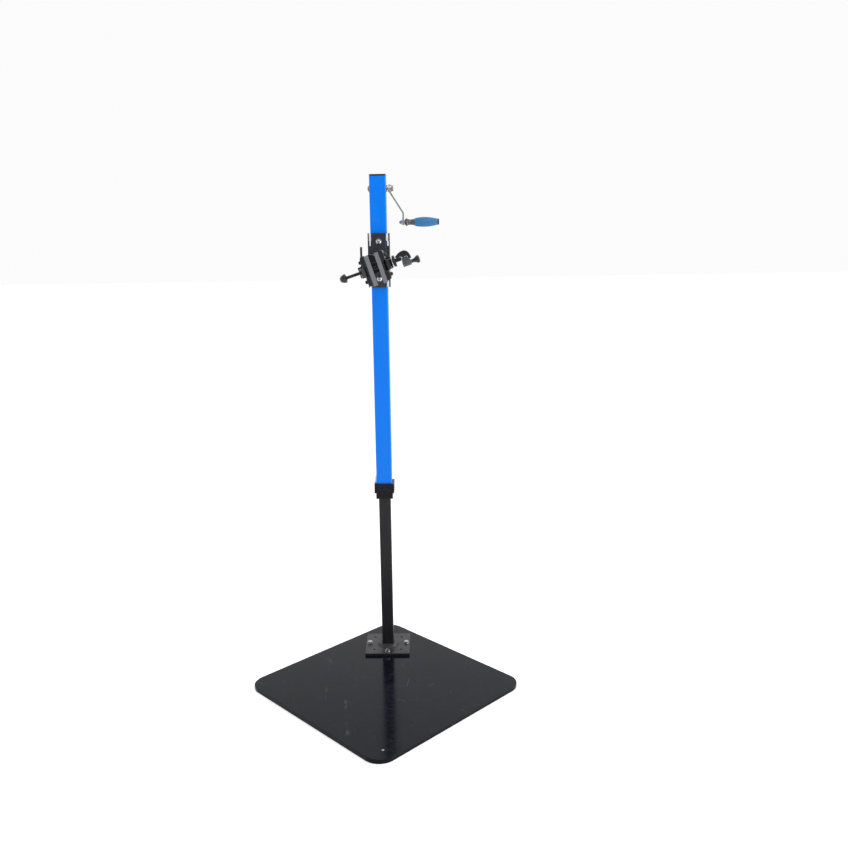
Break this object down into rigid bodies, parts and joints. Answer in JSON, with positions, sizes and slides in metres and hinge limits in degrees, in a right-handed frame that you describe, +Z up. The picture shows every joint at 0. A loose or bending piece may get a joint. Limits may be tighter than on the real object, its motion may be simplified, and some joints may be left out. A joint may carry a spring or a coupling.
{
  "type": "bicycle repair stand",
  "caption": "Floor stand with a square steel base plate, a hand-cranked telescoping square column, and a long arm that ends in a padded cam-lever clamp.",
  "frame": {"origin": "middle of the base plate's underside, on the floor", "axes": "+Z up, the arm points along -Y, the crank is on the +X side of the column"},
  "size_m": [0.8222, 0.8222, 1.561],
  "materials": {
    "black_coat": "satin powder coat, fine texture",
    "black_satin": "satin powder coat with light scuffs",
    "blue_coat": "smooth satin powder coat",
    "black_cast": "black coated casting",
    "black_plastic": "matte moulded",
    "blue_grip": "dimpled moulded grip",
    "grey_rubber": "matte rubber",
    "white_nylon": "white nylon",
    "zinc": "zinc plated",
    "steel": "machined steel",
    "dark_steel": "black oxide",
    "grey_paint": "dark grey satin",
    "bronze": "machined bronze"
  },
  "bodies": {
    "base": {"base_plate": "black_satin", "plate_plug": "zinc", "foot_flange": "black_coat", "foot_bolt_1": "zinc", "foot_bolt_2": "zinc", "foot_bolt_3": "zinc", "foot_bolt_4": "zinc", "inner_post": "black_coat", "lift_nut": "bronze", "post_guide": "white_nylon"},
    "column": {"outer_column": "blue_coat", "top_cap": "black_plastic", "lower_collar": "black_coat", "collar_sleeve": "black_plastic", "collar_shim": "white_nylon", "bearing_block": "bronze", "bushing_left": "bronze", "bushing_right": "bronze", "bracket_front": "black_coat", "bracket_back": "black_coat", "bracket_side_left": "black_coat", "bracket_side_right": "black_coat", "pad_top_left": "white_nylon", "pad_bottom_left": "white_nylon", "pad_top_right": "white_nylon", "pad_bottom_right": "white_nylon", "bracket_bolt_bottom": "zinc", "bracket_bolt_top": "zinc", "arm_socket": "black_cast"},
    "crank": {"crank_shaft": "steel", "bevel_pinion": "steel", "crank_arm": "zinc", "handle_bolt": "steel", "acorn_nut": "zinc"},
    "screw": {"lift_screw": "steel", "bevel_gear": "steel"},
    "handle": {"handle_core": "black_plastic", "handle_grip": "blue_grip", "handle_cap": "black_plastic"},
    "lock": {"lock_lever": "black_plastic"},
    "clamp_head": {"clamp_arm": "black_coat", "clamp_yoke": "black_cast", "fixed_jaw": "black_cast", "fixed_barrel": "black_cast", "fixed_pad": "grey_rubber", "fixed_screw_lower": "dark_steel", "fixed_screw_upper": "dark_steel", "rod_washer": "zinc", "ring_collar": "black_cast", "cam_block": "black_cast"},
    "jaw": {"moving_jaw": "black_cast", "moving_barrel": "black_cast", "moving_pad": "grey_rubber", "moving_screw_lower": "dark_steel", "moving_screw_upper": "dark_steel"},
    "knob": {"spindle": "dark_steel", "mushroom_knob": "black_plastic"},
    "lever": {"cam_lever": "black_cast", "lever_sleeve": "grey_paint", "lever_end": "black_plastic"}
  },
  "joints": [
    {"name": "lift", "type": "slide", "parent": "base", "child": "column", "axis": [0, 0, 1], "range_m": [-0.44, 0.06]},
    {"name": "crank_turn", "type": "hinge", "parent": "column", "child": "crank", "pos_m": [0, 0.246, 1.52], "axis": [1, 0, 0], "range_deg": [-19800, 2700]},
    {"name": "screw_turn", "type": "hinge", "parent": "column", "child": "screw", "pos_m": [0, 0.246, 1.2], "axis": [0, 0, 1], "continuous": true},
    {"name": "handle_spin", "type": "hinge", "parent": "crank", "child": "handle", "pos_m": [0.14, 0.246, 1.4195], "axis": [1, 0, 0], "continuous": true},
    {"name": "lock_turn", "type": "hinge", "parent": "column", "child": "lock", "pos_m": [-0.05, 0.1585, 1.306], "axis": [1, 0, 0], "range_deg": [-75, 0]},
    {"name": "clamp_swivel", "type": "hinge", "parent": "column", "child": "clamp_head", "pos_m": [0, 0, 1.306], "axis": [0, -1, 0], "continuous": true},
    {"name": "knob_turn", "type": "hinge", "parent": "clamp_head", "child": "knob", "pos_m": [0.0161, -0.264, 1.2991], "axis": [0.9494, 0, 0.314], "range_deg": [-4320, 7920]},
    {"name": "jaw_slide", "type": "slide", "parent": "clamp_head", "child": "jaw", "axis": [0.9494, 0, 0.314], "range_m": [-0.022, 0.012]},
    {"name": "lever_turn", "type": "hinge", "parent": "clamp_head", "child": "lever", "pos_m": [0.07307, -0.264, 1.31794], "axis": [-0.314, 0, 0.9494], "range_deg": [-85, 0]}
  ],
  "couplings": [
    {"joint": "lift", "follows": "crank_turn", "m_per_rad": 0.0012732},
    {"joint": "screw_turn", "follows": "crank_turn", "ratio": 1},
    {"joint": "knob_turn", "follows": "jaw_slide", "rad_per_m": -6283.2}
  ]
}
